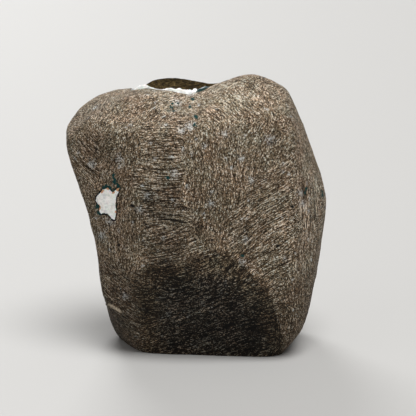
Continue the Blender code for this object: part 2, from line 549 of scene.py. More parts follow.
def lipPoints(ways):
    points = lipCentre + ways * lipRadii
    rough = roughen(points, hollow["lumps"]) + roughen(points, hollow["lipRoughness"])
    return points + ways * rough[:, None]


def makeBall(name, detail, pointsFor):  # pointsFor gives a point for each way out from the middle
    thing = addBall(name, detail)
    setPoints(thing, pointsFor(unit(getPoints(thing))) * mm)
    return thing


chalcedony = {
    "at": (-52, 10.5),
    "facing": (-38, -3),
    "depth": 3,
    "recessGap": 0.3,
    "plugGrowth": 0.12,  # the filling reaches this far into that gap
    "outline": [  # (across, up), seen looking at the patch
        (0.8, 8.5), (2.8, 7.8), (3.7, 6.5), (5.4, 6.6), (6.8, 8.2), (9.4, 9.3), (8.0, 6.0),
        (6.3, 3.1), (5.7, 0.9), (5.9, -1.9), (5.3, -6.1), (4.5, -8.8), (2.7, -8.6), (0.9, -7.0),
        (-0.9, -5.8), (-3.2, -5.7), (-5.1, -6.6), (-6.8, -5.7), (-6.8, -4.0), (-5.6, -2.8),
        (-7.4, -1.6), (-9.0, 0.2), (-8.3, 2.3), (-5.8, 4.3), (-3.8, 5.9), (-2.8, 7.4), (-0.9, 7.6),
    ],
    "reach": 15,
    "ragged": 0.55,
    "raggedSizes": (1.6, 0.7),
    "steps": 5,  # points along each side of the outline
    "rust": [  # (across, up, radius)
        (-3.2, 6.2, 2.2), (0.8, 8.6, 1.4), (4.6, 6.8, 1.5), (8.6, 8.4, 2.0), (-6.6, -3.2, 1.8),
        (5.6, -4.4, 1.0),
    ],
    "rustRoughness": ((0.7, 1.3, 3.0),),
    "rustWithin": (0.3, 1.3),  # of the edge
}
patchWay = facing(*chalcedony["at"])
patchSpot = heart + patchWay * blockReach(patchWay[None])[0]
patchOut = facing(*chalcedony["facing"])
patchAcross = unit(np.cross((0, 0, 1), patchOut))
patchUp = np.cross(patchOut, patchAcross)


def raggedOutline(grow):
    corners = np.array(chalcedony["outline"])
    following = np.roll(corners, -1, 0)
    shares = np.arange(chalcedony["steps"])[:, None] / chalcedony["steps"]
    line = np.concatenate([a + (b - a) * shares for a, b in zip(corners, following)])
    flat = np.column_stack([line, np.zeros(len(line))])
    coarse, fine = chalcedony["raggedSizes"]
    wander = np.stack([softNoise(flat, coarse, shift) for shift in (2.0, 8.0)], 1)
    wander += 0.5 * np.stack([softNoise(flat, fine, shift) for shift in (4.0, 6.0)], 1)
    line = line + chalcedony["ragged"] * wander
    return line + unit(line) * grow


def onPatch(points):  # (across, up) on the patch
    return np.stack([(points - patchSpot) @ patchAcross, (points - patchSpot) @ patchUp], 1)


def makePatchPlug(name, grow):
    outline = raggedOutline(grow)
    clearSelection()
    bpy.ops.mesh.primitive_circle_add(vertices=len(outline), radius=1, fill_type="NGON")
    thing = bpy.context.object
    thing.name = thing.data.name = name
    bottom = patchSpot - patchOut * (chalcedony["depth"] + grow)
    setPoints(thing, (bottom + outline[:, :1] * patchAcross + outline[:, 1:] * patchUp) * mm)
    editAll(thing)
    lift = patchOut * 4 * chalcedony["depth"] * mm
    bpy.ops.mesh.extrude_region_move(TRANSFORM_OT_translate={"value": lift})
    leaveEdit(outwards=True)
    return thing


hollowCutter = makeBall("hollowCutter", hollow["detail"], hollowPoints)
lipCutter = makeBall("lipCutter", hollow["detail"], lipPoints)
recessCutter = makePatchPlug("recessCutter", chalcedony["recessGap"])
blockBody = basaltBlock.copy()
blockBody.data = basaltBlock.data.copy()
bpy.context.scene.collection.objects.link(blockBody)
blockBody.name = "blockBody"

rim = {  # how far the chalcedony stands proud of the near rim: (across, half width, height)
    "ridges": [(-28.2, 3.8, 1.6), (-12.8, 4.0, 0.9), (-6.0, 5.6, 1.5), (3.2, 3.2, 1.2)],
    "elsewhere": -0.4,
    "ends": (-32.6, 3.5),  # beyond these it is stained
    "tealLens": (3.6, 153.8, 4.6),  # (across, up, radius)
    "up": (138, 143),  # where the ridges fade in: up, out towards the back, and over the hollow
    "out": (-11, -6),
    "over": (-30, -24),
    "unevenness": ((0.5, 2.5, 4.0),),
}


def raiseRim(thing):
    points = getPoints(thing) / mm
    drawn = onDrawing(points)
    nearRim = rimShare(points, rim["up"], rim["out"]) * fade(points[:, 1], *rim["over"])
    height = np.full(len(points), rim["elsewhere"])
    for across, halfWidth, tall in rim["ridges"]:
        share = np.exp(-(((drawn[:, 0] - across) / halfWidth) ** 4))
        height = np.maximum(height, rim["elsewhere"] + share * (tall - rim["elsewhere"]))
    height *= 1 + roughen(points, rim["unevenness"])
    setPoints(thing, (points + getNormals(thing) * (height * nearRim)[:, None]) * mm)


raiseRim(blockBody)
cutWith(basaltBlock, hollowCutter)
cutWith(basaltBlock, lipCutter)
cutWith(basaltBlock, recessCutter)
print("hollow, lip and recess cut:", len(basaltBlock.data.polygons), "faces")

# Spots are (across, up, radius) on the drawing of the back.
marks = {
    "skin": 2.8,  # what lies deeper than this is the hollow's wall
    "front": (0.05, 135, 8),  # the drawing shows what faces the back, and the rim above and before this
    "waver": (5, 2.2),  # noise that makes the borders waver: size, shift
    "lowFacetShade": [  # outline of the painted shade on the downward-facing lower face of the back, partly the stone's own darker colour
        (-30.9, 54.1), (-25, 57.8), (-16.9, 59), (-6, 60.2), (2.1, 62.3), (10.2, 63.9),
        (17.2, 63.4), (23.7, 59.6), (28.6, 54.6), (35, 47.2), (41, 39.7), (44.2, 28.8),
        (47.5, 17.8), (48.6, 8.1), (44, -4), (-25, -4), (-29.3, 12), (-31.5, 27.7),
        (-32, 41.4),
    ],
    "lowFacetShadeWaver": 2.0,
    "lowFacetShadeEdge": (4.5, 1.4),  # half width of its border on the left, on the right
    "lowFacetShadeSteps": (0.87, 0.13, (4, 18)),  # share at the border, share further in, from and to
    "pale": [
        (-53.7, 143, 2.5), (4.8, 122.7, 2.4), (39.9, 126, 3.6), (-3.3, 133.1, 3.6),
        (-3.3, 150.1, 3), (-11.5, 107.3, 3.2), (-9.8, 145.7, 3), (-7.7, 130.9, 3),
        (15.6, 129.3, 2.6), (-26.1, 95.8, 3.6), (-30.4, 88.1, 3), (8, 91.4, 3),
        (56.2, 97.4, 2.6), (57.3, 91.9, 2.6), (27, 71.6, 2.6), (24.8, 59, 3.2),
        (-46.6, 81.5, 3), (-41.2, 115.6, 3.2), (-55.8, 112.8, 3.2), (-39, 40.5, 3),
        (-51.5, 74, 3.4), (-15, 30, 2.6), (24, 116, 2.6), (30, 104, 2.4),
    ],
    # pits, painted nearly black as the shade in them
    "pits": [
        (-53.1, 121, 1.1), (-45, 121, 1), (-34.2, 90.3, 1.5), (-42, 68.9, 1.5),
        (51.8, 89.7, 1.3), (44.3, 68.3, 1.3), (8.6, 71.6, 1.2), (51.8, 99.1, 1),
    ],
    "teal": [
        (-1.7, 147.9, 1.2), (-0.3, 138.8, 1.2), (0.3, 138, 1), (-0.6, 133.9, 1.1),
        (-3, 143.4, 0.9), (-12.6, 145.4, 0.8), (-13.2, 143.4, 0.9), (-14.6, 141.5, 0.8),
        (-9.5, 145.6, 0.8), (-12, 141.6, 0.7), (59.4, 99.6, 1.2), (58.3, 97.4, 0.9),
        (68, 96.9, 2), (-15.2, 105.7, 1.2), (-44.2, 107.3, 0.9), (-44.5, 105.9, 0.9),
        (-44, 104.6, 1), (-44.2, 103.5, 1), (-43.2, 103.2, 0.9), (-42.7, 102.2, 1),
        (-42, 101.1, 1), (-41.2, 100.1, 0.9), (-46.3, 100.1, 1), (-46.6, 100.8, 0.9),
        (-45.6, 99.1, 1), (-44.6, 98, 1.1), (-43.9, 98.8, 1), (-49.3, 100.5, 1.1),
        (-48, 101.1, 1.2), (-47.3, 100.5, 1.1), (-53.1, 90.1, 1.5), (-52.4, 90.5, 1.3),
        (-52.7, 86.7, 1), (-52, 85.7, 0.9), (25, 63, 0.9), (1, 152.9, 1.5),
        (2.8, 153.6, 1.6), (4.5, 154.3, 1.4), (5.8, 154.9, 1),
    ],
    "morePale": (60, 2, 4),  # over the other sides: how many, smallest radius, largest
    "moreTeal": (26, 1, 2.2),
    "smallPale": (150, 0.9, 1.8),  # all over
    "patchGapShade": (1.2, 0.3, 0.9),  # painted shade in the thin gap round the chalcedony patch: strength, where it fades
    "crustReach": (1.045, 1.09),  # brown weathered crust, darkened as painted shade, in radii of the lip: outside, in the hollow
    "crustWaver": 0.02,
    "crustEdge": (-0.04, 0.02),
    "crustEnds": (0.2, 0.45),  # how far the outside turns to the far side there
    "crustInside": 0.75,
    # dark brown spots on the hump's shoulder, partly painted shade where it turns from the light
    "crustSpots": [(15.1, 158.6, 2.2), (18.5, 160.6, 2.2), (22, 162.2, 1.8)],
    "crustSpotShare": (0.9, 0.5),
    "scar": ((-48.8, 36.2), (-40.8, 31.3), 1.15),  # fresh, lighter chip: from, to, radius
    "scarRoughness": ((0.22, 1.3, 4.4),),
    "scarEdge": (0.05, 0.45),
    "tones": [  # (across, up, radius, brightness): broad lighter and darker parts, partly painted light and shade (the lit top band lighter, the low faces darker) and partly the stone's own tone
        (-20, 90, 14, 0.36), (-18, 64, 15, 0.38), (-18, 122, 13, 0.77), (8, 82, 22, 0.70),
        (-45, 26, 16, 0.34), (-38, 60, 12, 0.90), (54, 36, 21, 0.60), (-50, 118, 14, 0.96),
        (35, 98, 16, 0.92), (-6, 148, 24, 1.34), (28, 150, 20, 1.26), (32, 24, 14, 0.50),
        (-34, 60, 4.5, 1.9), (54, 96, 14, 1.12), (-36, 44, 8, 0.62), (15, 54, 8, 1.45),
    ],
    "darkerFoot": (0.22, 78, 70),  # share, from this height down, over this far
    "panes": [  # (outline, softness of its edge, brightness): ground faces that differ in tone; the darker left face and lower left face are painted shade
        ([(-75, 122), (-52, 130), (-32, 130.5), (-32, 8), (-80, 8)], 0.7, 0.87),
        ([(-8, 128), (6, 128), (4, 62), (-6, 62)], 0.8, 1.06),
        ([(-60, 62), (-33.5, 56), (-32.5, 0), (-60, 0)], 3.5, 0.66),
        ([(-7.1, 106), (-5.7, 106), (-5.1, 90), (-6.5, 90)], 0.5, 2.6),
        ([(-10.4, 26.2), (10.2, 34.4), (10.4, 35.2), (-10.2, 27.2)], 0.6, 3.4),
        ([(-26.6, 12.6), (-14.2, 19.2), (-14, 20.2), (-26.6, 13.6)], 0.6, 3.4),
    ],
    "strongLines": [  # (across, up, radius, times as strong)
        (60, 88, 14, 1.8), (-16, 86, 12, 1.5), (-16, 64, 10, 1.2), (-18, 106, 10, 1.3),
    ],
    "patternShift": (37, 53, 0),  # from one pass to the next, so that no two match
    "seed": 23,
}


def insideOutline(spots, outline):  # signed distance, positive inside
    corners = np.array(outline, float)
    inside = np.zeros(len(spots), bool)
    nearest = np.full(len(spots), farAway)
    for a, b in zip(corners, np.roll(corners, -1, 0)):
        edge = b - a
        share = np.clip(((spots - a) @ edge) / (edge @ edge), 0, 1)
        nearest = np.minimum(nearest, lengthsOf(spots - a - share[:, None] * edge))
        crosses = (a[1] > spots[:, 1]) != (b[1] > spots[:, 1])
        level = a[0] + (spots[:, 1] - a[1]) / ((b[1] - a[1]) if b[1] != a[1] else 1e-9) * edge[0]
        inside ^= crosses & (spots[:, 0] < level)
    return np.where(inside, nearest, -nearest)


points = getPoints(basaltBlock) / mm
normals = getNormals(basaltBlock)
drawn = onDrawing(points)
onOutside = blockReach(unit(points - heart)) - lengthsOf(points - heart) < marks["skin"]
turned, above, before = marks["front"]
nearRim = (points[:, 2] > above) & (points[:, 1] < before)
front = ((normals[:, 1] < turned) | nearRim) & onOutside
waver = softNoise(points, *marks["waver"])
chance = np.random.default_rng(marks["seed"])


def scatterSpots(field, where, count, smallest, largest):
    for spot in points[chance.choice(np.flatnonzero(where), count, replace=False)]:
        off = lengthsOf(points - spot)
        field = np.maximum(field, 1 - off / chance.uniform(smallest, largest))
    return field


def onBack(spots):
    return spotField(points, drawn, front, spots)


def blot(across, up, radius):  # a soft spot on the back, 1 in its middle
    share = np.exp(-(((drawn[:, 0] - across) ** 2 + (drawn[:, 1] - up) ** 2) / radius**2))
    return np.where(front, share, 0)


paleField = onBack(marks["pale"])
paleField = scatterSpots(paleField, onOutside & ~front, *marks["morePale"])
tealField = onBack(marks["teal"])
tealField = scatterSpots(tealField, onOutside & ~front, *marks["moreTeal"])
paleField = scatterSpots(paleField, onOutside, *marks["smallPale"])
pitAndGapShade = onBack(marks["pits"])
fromPatch = insideOutline(onPatch(points), raggedOutline(chalcedony["recessGap"]))
atPatch = lengthsOf(points - patchSpot) < chalcedony["reach"]
# painted shade in the thin gap round the chalcedony patch, kept with the pits
strength, low, high = marks["patchGapShade"]
border = strength * (1 - fade(np.abs(fromPatch), low, high))
pitAndGapShade = np.where(atPatch, np.maximum(pitAndGapShade, border), pitAndGapShade)
storeVectors(basaltBlock, "spots", np.stack([tealField, paleField, pitAndGapShade], 1))

# painted shade on the downward-facing lower face of the back, partly darker stone
inLowFacetShade = insideOutline(drawn, marks["lowFacetShade"]) + marks["lowFacetShadeWaver"] * waver
leftEdge, rightEdge = marks["lowFacetShadeEdge"]
edge = np.where(drawn[:, 0] > 0, rightEdge, leftEdge)
atBorder, furtherIn, fadesIn = marks["lowFacetShadeSteps"]
lowFacetShade = atBorder * fade(inLowFacetShade, -edge, edge) + furtherIn * fade(inLowFacetShade, *fadesIn)
lowFacetShade = np.where(front, lowFacetShade, 0)
# brown weathered crust on the far wall behind the rim, its darkness partly painted shade
outerReach, innerReach = marks["crustReach"]
crust = np.where(onOutside, outerReach, innerReach) + marks["crustWaver"] * waver
crust = fade(crust - lipRadiiFrom(points), *marks["crustEdge"])
crust *= 1 - fade(normals[:, 1], *marks["crustEnds"]) * onOutside
crust = np.maximum(crust, np.where(onOutside, 0, marks["crustInside"]))
share, high = marks["crustSpotShare"]
crust = np.maximum(crust, share * fade(onBack(marks["crustSpots"]), 0, high))
scar = onBack(spotsAlong(*marks["scar"]))
scar = fade(scar + roughen(points, marks["scarRoughness"]), *marks["scarEdge"])
storeVectors(basaltBlock, "states", np.stack([lowFacetShade, crust, scar], 1))

# tone: a multiplier on the stone's colour, darker towards the foot, partly painted light and shade
share, height, depth = marks["darkerFoot"]
tone = 1 - share * fade(height - points[:, 2], 0, depth)
for across, up, radius, brightness in marks["tones"]:
    tone *= 1 + (brightness - 1) * blot(across, up, radius)
for outline, softness, brightness in marks["panes"]:
    share = fade(insideOutline(drawn, outline), -softness, softness)
    tone *= 1 + (brightness - 1) * np.where(front, share, 0)

cornerPoint = readRows(basaltBlock.data.loops, "vertex_index", 1, int)[:, 0]
cornersPerFace = readRows(basaltBlock.data.polygons, "loop_total", 1, int)[:, 0]
owner = np.argmin(passDepths(faceMiddles(basaltBlock) / mm, passes), 0)
cornerOwner = np.repeat(owner, cornersPerFace)
grain = np.empty((len(cornerPoint), 3))
for number, onePass in enumerate(passes):
    mine = cornerOwner == number
    local = inPass(points[cornerPoint[mine]], onePass, number)
    grain[mine] = local + number * np.array(marks["patternShift"])
storeVectors(basaltBlock, "grain", grain, "CORNER")
lined = np.array([onePass[5] for onePass in passes])[cornerOwner]
for across, up, radius, times in marks["strongLines"]:
    lined *= 1 + (times - 1) * blot(across, up, radius)[cornerPoint]
storeVectors(basaltBlock, "tone", np.stack([tone[cornerPoint], lined, lined], 1), "CORNER")
print("marks laid out on the basalt")

basaltLook = {
    "minerals": [  # dark to pale
        (0.10, (0.0095, 0.0064, 0.0034)), (0.32, (0.036, 0.0246, 0.0145)),
        (0.52, (0.098, 0.0702, 0.0425)), (0.74, (0.245, 0.189, 0.131)),
        (0.95, (0.60, 0.545, 0.465)),
    ],
    "grainTints": [(0.0, (0.91, 1.0, 1.06)), (0.45, (1, 1, 1)), (1.0, (1.12, 0.98, 0.84))],
    "broadTints": [(0.36, (1.05, 0.985, 0.95)), (0.64, (0.96, 1.015, 1.01))],
    "grain": (0.86, 0.48),  # length, width
    "speck": (0.50, 0.36),
    "groove": (10.0, 0.45),
    "deepGroove": (24.0, 0.64),
    "mottle": 9,
    "swing": {  # how far each one moves the stone between its dark and its pale minerals
        "grain": (-0.25, 0.25), "speck": (-0.29, 0.29), "groove": (-0.31, 0.28),
        "deepGroove": (-0.37, 0.03), "mottle": (0.445, 0.605), "tone": (-0.10, 0.07),
    },
    "relief": {  # how far each one stands out or, below 0, is sunk
        "grain": 0.30, "speck": 0.18, "groove": 0.40, "deepGroove": 0.40, "pit": -1.5, "crisp": 0.5,
    },
    "reliefHeight": 0.22,
    "paleSpot": (0.52, 0.545, 0.54),
    # painted shade of the pits and of the gap round the patch
    "pit": (0.006, 0.005, 0.004),
    "teal": (0.002, 0.032, 0.030),
    # brown weathered crust, darkened as painted shade on the far wall beyond the rim
    "crust": [
        (0.38, (0.007, 0.0045, 0.0015)), (0.51, (0.036, 0.0235, 0.0065)), (0.68, (0.165, 0.112, 0.042)),
    ],
    "scar": (0.42, 0.35, 0.26),
    "lowFacetShade": (0.051, 0.047, 0.0405),  # what is left of the stone's colour under the painted shade of the lower face
    "lowFacetShadeEdge": [(0.3, (1, 1, 1)), (0.86, (0.98, 0.89, 0.74)), (1.0, (1, 1, 1))],
}


def alongGrain(tree, grain, size, place=(0, 0, 0)):
    return stretch(tree, grain, (1 / size[0], 1 / size[1], 1 / size[1]), place)


def makeBasalt(name):
    look = basaltLook
    swing, relief = look["swing"], look["relief"]
    material, tree, shader = newMaterial(name, 0.85, Specular_IOR_Level=0.18)
    grain = attributeOf(tree, "grain")
    place = inMillimetres(tree)
    teal, pale, pit = split(tree, attributeOf(tree, "spots"))
    lowFacetShade, crusted, scar = split(tree, attributeOf(tree, "states"))
    tone, lined, _ = split(tree, attributeOf(tree, "tone"))

    mineral, hue, _ = split(tree, cells(tree, alongGrain(tree, grain, look["grain"])))
    speck, _, _ = split(tree, cells(tree, alongGrain(tree, grain, look["speck"], (7, 3, 1))))
    grooves = cloud(tree, alongGrain(tree, grain, look["groove"]), 1, 1, 0.5)
    grooves = spread(tree, grooves, 0.28, 0.72)
    deep = cloud(tree, alongGrain(tree, grain, look["deepGroove"], (3, 9, 4)), 1, 1, 0.5)
    deep = ease(tree, deep, 0.30, 0.42)
    mottle = cloud(tree, place, 1 / look["mottle"], 4, 0.6)
    crisp = cloud(tree, place, 0.75, 4, 0.75)
    speckle = addUp(tree, (mineral, *swing["grain"]), (speck, *swing["speck"]))
    furrows = addUp(tree, (grooves, *swing["groove"]), (deep, *swing["deepGroove"]))
    speckle = maths(tree, "ADD", speckle, maths(tree, "MULTIPLY", furrows, lined))
    speckle = sway(tree, speckle, mottle, *swing["mottle"])
    speckle = sway(tree, speckle, tone, *swing["tone"], 0.3, 1.5)
    stone = ramp(tree, speckle, look["minerals"])
    stone = blend(tree, 1.0, stone, ramp(tree, hue, look["grainTints"]), "MULTIPLY")
    broadTint = ramp(tree, cloud(tree, place, 1 / 13, 3, 0.6), look["broadTints"])
    stone = blend(tree, 1.0, stone, broadTint, "MULTIPLY")

    paleShare = sway(tree, sway(tree, pale, crisp, -0.9, 0.6), speckle, -0.55, 0.45, 0.2, 0.9)
    stone = blend(tree, ease(tree, paleShare, 0.0, 1.0, 0, 0.66), stone, look["paleSpot"])
    # painted shade of the pits and of the patch's gap
    pitShare = ease(tree, sway(tree, pit, crisp, -0.6, 0.4), 0.1, 0.4)
    stone = blend(tree, pitShare, stone, look["pit"])
    # the painted shade of the lower face darkens the stone, its pale grains less, with a warmer band at its
    # edge
    lowFacetShadeShare = maths(tree, "MULTIPLY", lowFacetShade, ease(tree, speckle, 0.60, 0.95, 1.0, 0.62))
    stone = blend(tree, lowFacetShadeShare, stone, blend(tree, 1.0, stone, look["lowFacetShade"], "MULTIPLY"))
    stone = blend(tree, 1.0, stone, ramp(tree, lowFacetShade, look["lowFacetShadeEdge"]), "MULTIPLY")
    # the stone scaled by the tone, which is partly painted light and shade
    toned = {0: stone, "Scale": maths(tree, "POWER", tone, 0.5)}
    stone = addNode(tree, "VectorMath", toned, operation="SCALE").outputs[0]
    scarShare = maths(tree, "MULTIPLY", scar, ease(tree, crisp, 0.35, 0.6, 0.35, 0.9))
    stone = blend(tree, scarShare, stone, look["scar"])
    # the crust's brown, darkened as painted shade
    crust = ramp(tree, cloud(tree, stretch(tree, place, (0.42, 0.42, 1.1)), 1, 5, 0.8), look["crust"])
    stone = blend(tree, crusted, stone, crust)
    tealShare = ease(tree, sway(tree, teal, crisp, -0.8, 0.8), 0.0, 0.2)
    stone = blend(tree, tealShare, stone, look["teal"])
    tree.links.new(stone, shader.inputs["Base Color"])

    patterns = {
        "grain": mineral, "speck": speck, "groove": grooves, "deepGroove": deep, "pit": pitShare,
        "crisp": crisp,
    }
    height = addUp(tree, *((patterns[part], 0, relief[part]) for part in relief))
    tree.links.new(bump(tree, height, look["reliefHeight"], 0.9), shader.inputs["Normal"])
    return material


dress(basaltBlock, makeBasalt("ground basalt"), 50)
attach(basaltBlock, "root")
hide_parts("basalt_matrix")
print("basalt finished")

chalcedonyPatch = makePatchPlug("chalcedonyPatch", chalcedony["plugGrowth"])
cutWith(chalcedonyPatch, blockBody, "INTERSECT")

chalcedonyLook = {
    "clouds": [(0.3, (0.62, 0.60, 0.57)), (0.5, (0.83, 0.815, 0.79)), (0.7, (0.90, 0.89, 0.87))],
    "greyBands": (0.50, 0.51, 0.53),
    "greyShare": 0.45,
    "rust": (0.50, 0.20, 0.055),
    "rustShare": 0.92,
}


def makeChalcedony(name):
    material, tree, shader = newMaterial(
        name, 0.42, Subsurface_Weight=0.25, Subsurface_Scale=0.002, IOR=1.54, Coat_Weight=0.1
    )
    place = inMillimetres(tree)
    cloudy = cloud(tree, place, 0.4, 4, 0.6, 0.6)
    banded = cloud(tree, stretch(tree, place, (0.5, 0.5, 1.6)), 1, 2)
    body = ramp(tree, cloudy, chalcedonyLook["clouds"])
    greyShare = ease(tree, banded, 0.50, 0.64, 0, chalcedonyLook["greyShare"])
    body = blend(tree, greyShare, body, chalcedonyLook["greyBands"])
    tree.links.new(body, shader.inputs["Base Color"])
    tree.links.new(bump(tree, cloudy, 0.12, 0.6), shader.inputs["Normal"])
    return material, tree, shader, body


material, tree, shader, body = makeChalcedony("white chalcedony")
rust = split(tree, attributeOf(tree, "rust"))[0]
rustShare = ease(tree, rust, 0.1, 0.8, 0, chalcedonyLook["rustShare"])
tree.links.new(blend(tree, rustShare, body, chalcedonyLook["rust"]), shader.inputs["Base Color"])
points = getPoints(chalcedonyPatch) / mm
local = onPatch(points)
rustField = spotField(points, local, np.ones(len(local), bool), chalcedony["rust"])
rustField = fade(rustField + roughen(points, chalcedony["rustRoughness"]), 0, 0.4)
rustField *= 1 - fade(insideOutline(local, raggedOutline(0)), *chalcedony["rustWithin"])
storeVectors(chalcedonyPatch, "rust", np.repeat(rustField[:, None], 3, 1))
dress(chalcedonyPatch, material, 40)
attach(chalcedonyPatch, "root")
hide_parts("chalcedony_patch")
print("chalcedony patch finished")

rind = {
    "gap": 0.12,
    "thickness": 3.3,
    "unevenness": ((1.5, 11.0, 4.4),),  # (height, size, shift)
    "nodules": 0.9,
    "noduleLayers": ((1, 3.4, 1.7), (0.5, 1.7, 6.1)),
    "noduleFoot": 0.35,  # how much of a nodule is sunk
    "detail": 7,
    "bands": [  # from the rock inwards
        (0.0, (0.55, 0.60, 0.57)), (0.10, (0.92, 0.94, 0.93)), (0.24, (0.97, 0.98, 0.99)),
        (0.30, (0.50, 0.57, 0.63)), (0.36, (1, 1, 1)), (0.50, (0.97, 0.98, 1.0)),
        (0.56, (0.46, 0.53, 0.61)), (0.62, (0.93, 0.95, 0.97)), (0.72, (0.66, 0.71, 0.77)),
        (0.80, (0.95, 0.96, 0.98)), (1.0, (0.9, 0.92, 0.95)),
    ],
    "bandsReach": 4.0,  # how deep they go
    "bandsShare": 0.75,
    "green": (0.006, 0.055, 0.05),  # celadonite next to the rock
    "stained": (0.060, 0.046, 0.030),
    "tealLens": (0.002, 0.024, 0.021),
    "lensRoughness": ((0.3, 1.6, 5.5),),
    "rimUp": (133, 138),  # the near rim: up, and out towards the back
    "rimOut": (-15, -9),
}


def outerPoints(ways):
    return hollowPoints(ways, rind["gap"])


def innerPoints(ways):
    reach = hollowReach(ways)
    points = hollowHeart + ways * reach[:, None]
    nodules = sum(share * np.abs(softNoise(points, *layer)) for share, *layer in rind["noduleLayers"])
    thickness = rind["thickness"] + roughen(points, rind["unevenness"])
    reach = reach - thickness + rind["nodules"] * (nodules - rind["noduleFoot"])
    return hollowHeart + ways * reach[:, None]


chalcedonyRind = makeBall("chalcedonyRind", hollow["detail"], outerPoints)
inside = makeBall("rindInside", rind["detail"], innerPoints)
lipTrim = makeBall("lipTrim", hollow["detail"], lipPoints)
cutWith(chalcedonyRind, inside)
cutWith(chalcedonyRind, blockBody, "INTERSECT")
cutWith(chalcedonyRind, lipTrim)

material, tree, shader, body = makeChalcedony("banded chalcedony")
shader.inputs["Specular IOR Level"].default_value = 0.22
shader.inputs["Coat Weight"].default_value = 0
depth = split(tree, attributeOf(tree, "depth"))[0]
lens, stained, clean = split(tree, attributeOf(tree, "rimMarks"))
skin = cloud(tree, inMillimetres(tree), 0.22, 2)
bandPlace = spread(tree, sway(tree, depth, skin, -0.35, 0.35), 0.0, rind["bandsReach"])
body = blend(tree, rind["bandsShare"], body, ramp(tree, bandPlace, rind["bands"]), "MULTIPLY")
greenShare = ease(tree, sway(tree, depth, skin, -0.55, 0.5, 0.35, 0.65), 0.35, 0.2)
greenShare = maths(tree, "MULTIPLY", greenShare, maths(tree, "SUBTRACT", 1.0, clean, True))
body = blend(tree, greenShare, body, rind["green"])
body = blend(tree, stained, body, rind["stained"])
body = blend(tree, lens, body, rind["tealLens"])
tree.links.new(body, shader.inputs["Base Color"])

points = getPoints(chalcedonyRind) / mm
depths = hollowReach(unit(points - hollowHeart)) - lengthsOf(points - hollowHeart)
storeVectors(chalcedonyRind, "depth", np.repeat(depths[:, None], 3, 1))
drawn = onDrawing(points)
nearRim = rimShare(points, rind["rimUp"], rind["rimOut"])
across, up, radius = rim["tealLens"]
lens = 1 - np.hypot(drawn[:, 0] - across, drawn[:, 1] - up) / radius
lens = fade(lens + roughen(points, rind["lensRoughness"]), 0, 0.25)
leftEnd, rightEnd = rim["ends"]
stained = fade(np.maximum(drawn[:, 0] - rightEnd, leftEnd - drawn[:, 0]), -0.8, 0.8)
storeVectors(chalcedonyRind, "rimMarks", np.stack([lens * nearRim, stained * nearRim, nearRim], 1))
dress(chalcedonyRind, material, 50)
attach(chalcedonyRind, "root")
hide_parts("quartz_crust")
print("rind finished:", len(chalcedonyRind.data.polygons), "faces")

crystals = {
    "tries": 16000,
    "radius": (1.3, 4.5),
    "patches": (18.0, 3.3),  # noise that gives parts with larger crystals: size, shift
    "patchiness": 0.8,
    "radiusChance": (1.5, 1.9, 1.5),  # shape of the spread of sizes, and times as large
    "smallerAbove": (116, 134, 0.45),  # from, to, how much smaller
    "lengthPerRadius": (1.3, 2.1),
    "extraLength": 1.0,
    "crowding": 0.52,
    "tilt": 0.20,
    "sunk": 1.2,
    "taper": 0.90,
    "pyramid": (1.0, 1.35),  # per radius, as the next three are
    "unevenShoulder": 0.35,
    "offCentreTip": 0.28,
    "wider": (0.82, 1.18),
    "leastShoulder": 0.25,  # share of the length
    "clearOfFaces": 0.8,
    "clearPerRadius": 0.6,
    "clearOfLip": 1.12,
    "milkyShare": 0.45,
    "absorption": ((0.93, 0.96, 0.97), 60),  # colour, density per metre
    "milkyCrystals": {
        "transmission": 0.25, "roughness": 0.12,
        "colours": ((0.90, 0.90, 0.89), (0.93, 0.93, 0.93), (0.97, 0.97, 0.98)),
    },
    "clearCrystals": {
        "transmission": 0.88, "roughness": 0.04,
        "colours": ((0.93, 0.93, 0.92), (0.97, 0.97, 0.97), (0.99, 0.99, 1.0)),
    },
    "seed": 5,
}


def modelCrystal():  # one six-sided point, its foot at 0, its shoulder at 1 and its tip at 1.5
    clearSelection()
    bpy.ops.mesh.primitive_cylinder_add(
        vertices=6, radius=1, depth=1, location=(0, 0, 0.5), end_fill_type="NGON"
    )
    thing = bpy.context.object
    bpy.ops.object.transform_apply(location=True)
    editFaces(thing, faceMiddles(thing)[:, 2] > 0.99)
    bpy.ops.mesh.extrude_region_move(TRANSFORM_OT_translate={"value": (0, 0, 0.5)})
    bpy.ops.mesh.merge(type="CENTER")
    leaveEdit(outwards=True)
    points = getPoints(thing)
    faces = readRows(thing.data.polygons, "vertices", 3, int)
    remove(thing)
    return points, faces


def intoHollow(ways):  # out of the hollow's wall, square to it
    step = 0.02
    side = unit(np.cross(ways, (0.31, 0.62, 0.72)))
    over = np.cross(ways, side)
    here, one, two = (
        way * hollowReach(way)[:, None] for way in (ways, unit(ways + step * side), unit(ways + step * over))
    )
    slope = unit(np.cross(one - here, two - here))
    return slope * -np.sign((slope * ways).sum(1))[:, None]


def inRock(points, margin):
    offset = points - heart
    clearOfFaces = lengthsOf(offset) < blockReach(unit(offset)) - margin
    return clearOfFaces & (lipRadiiFrom(points) > crystals["clearOfLip"])


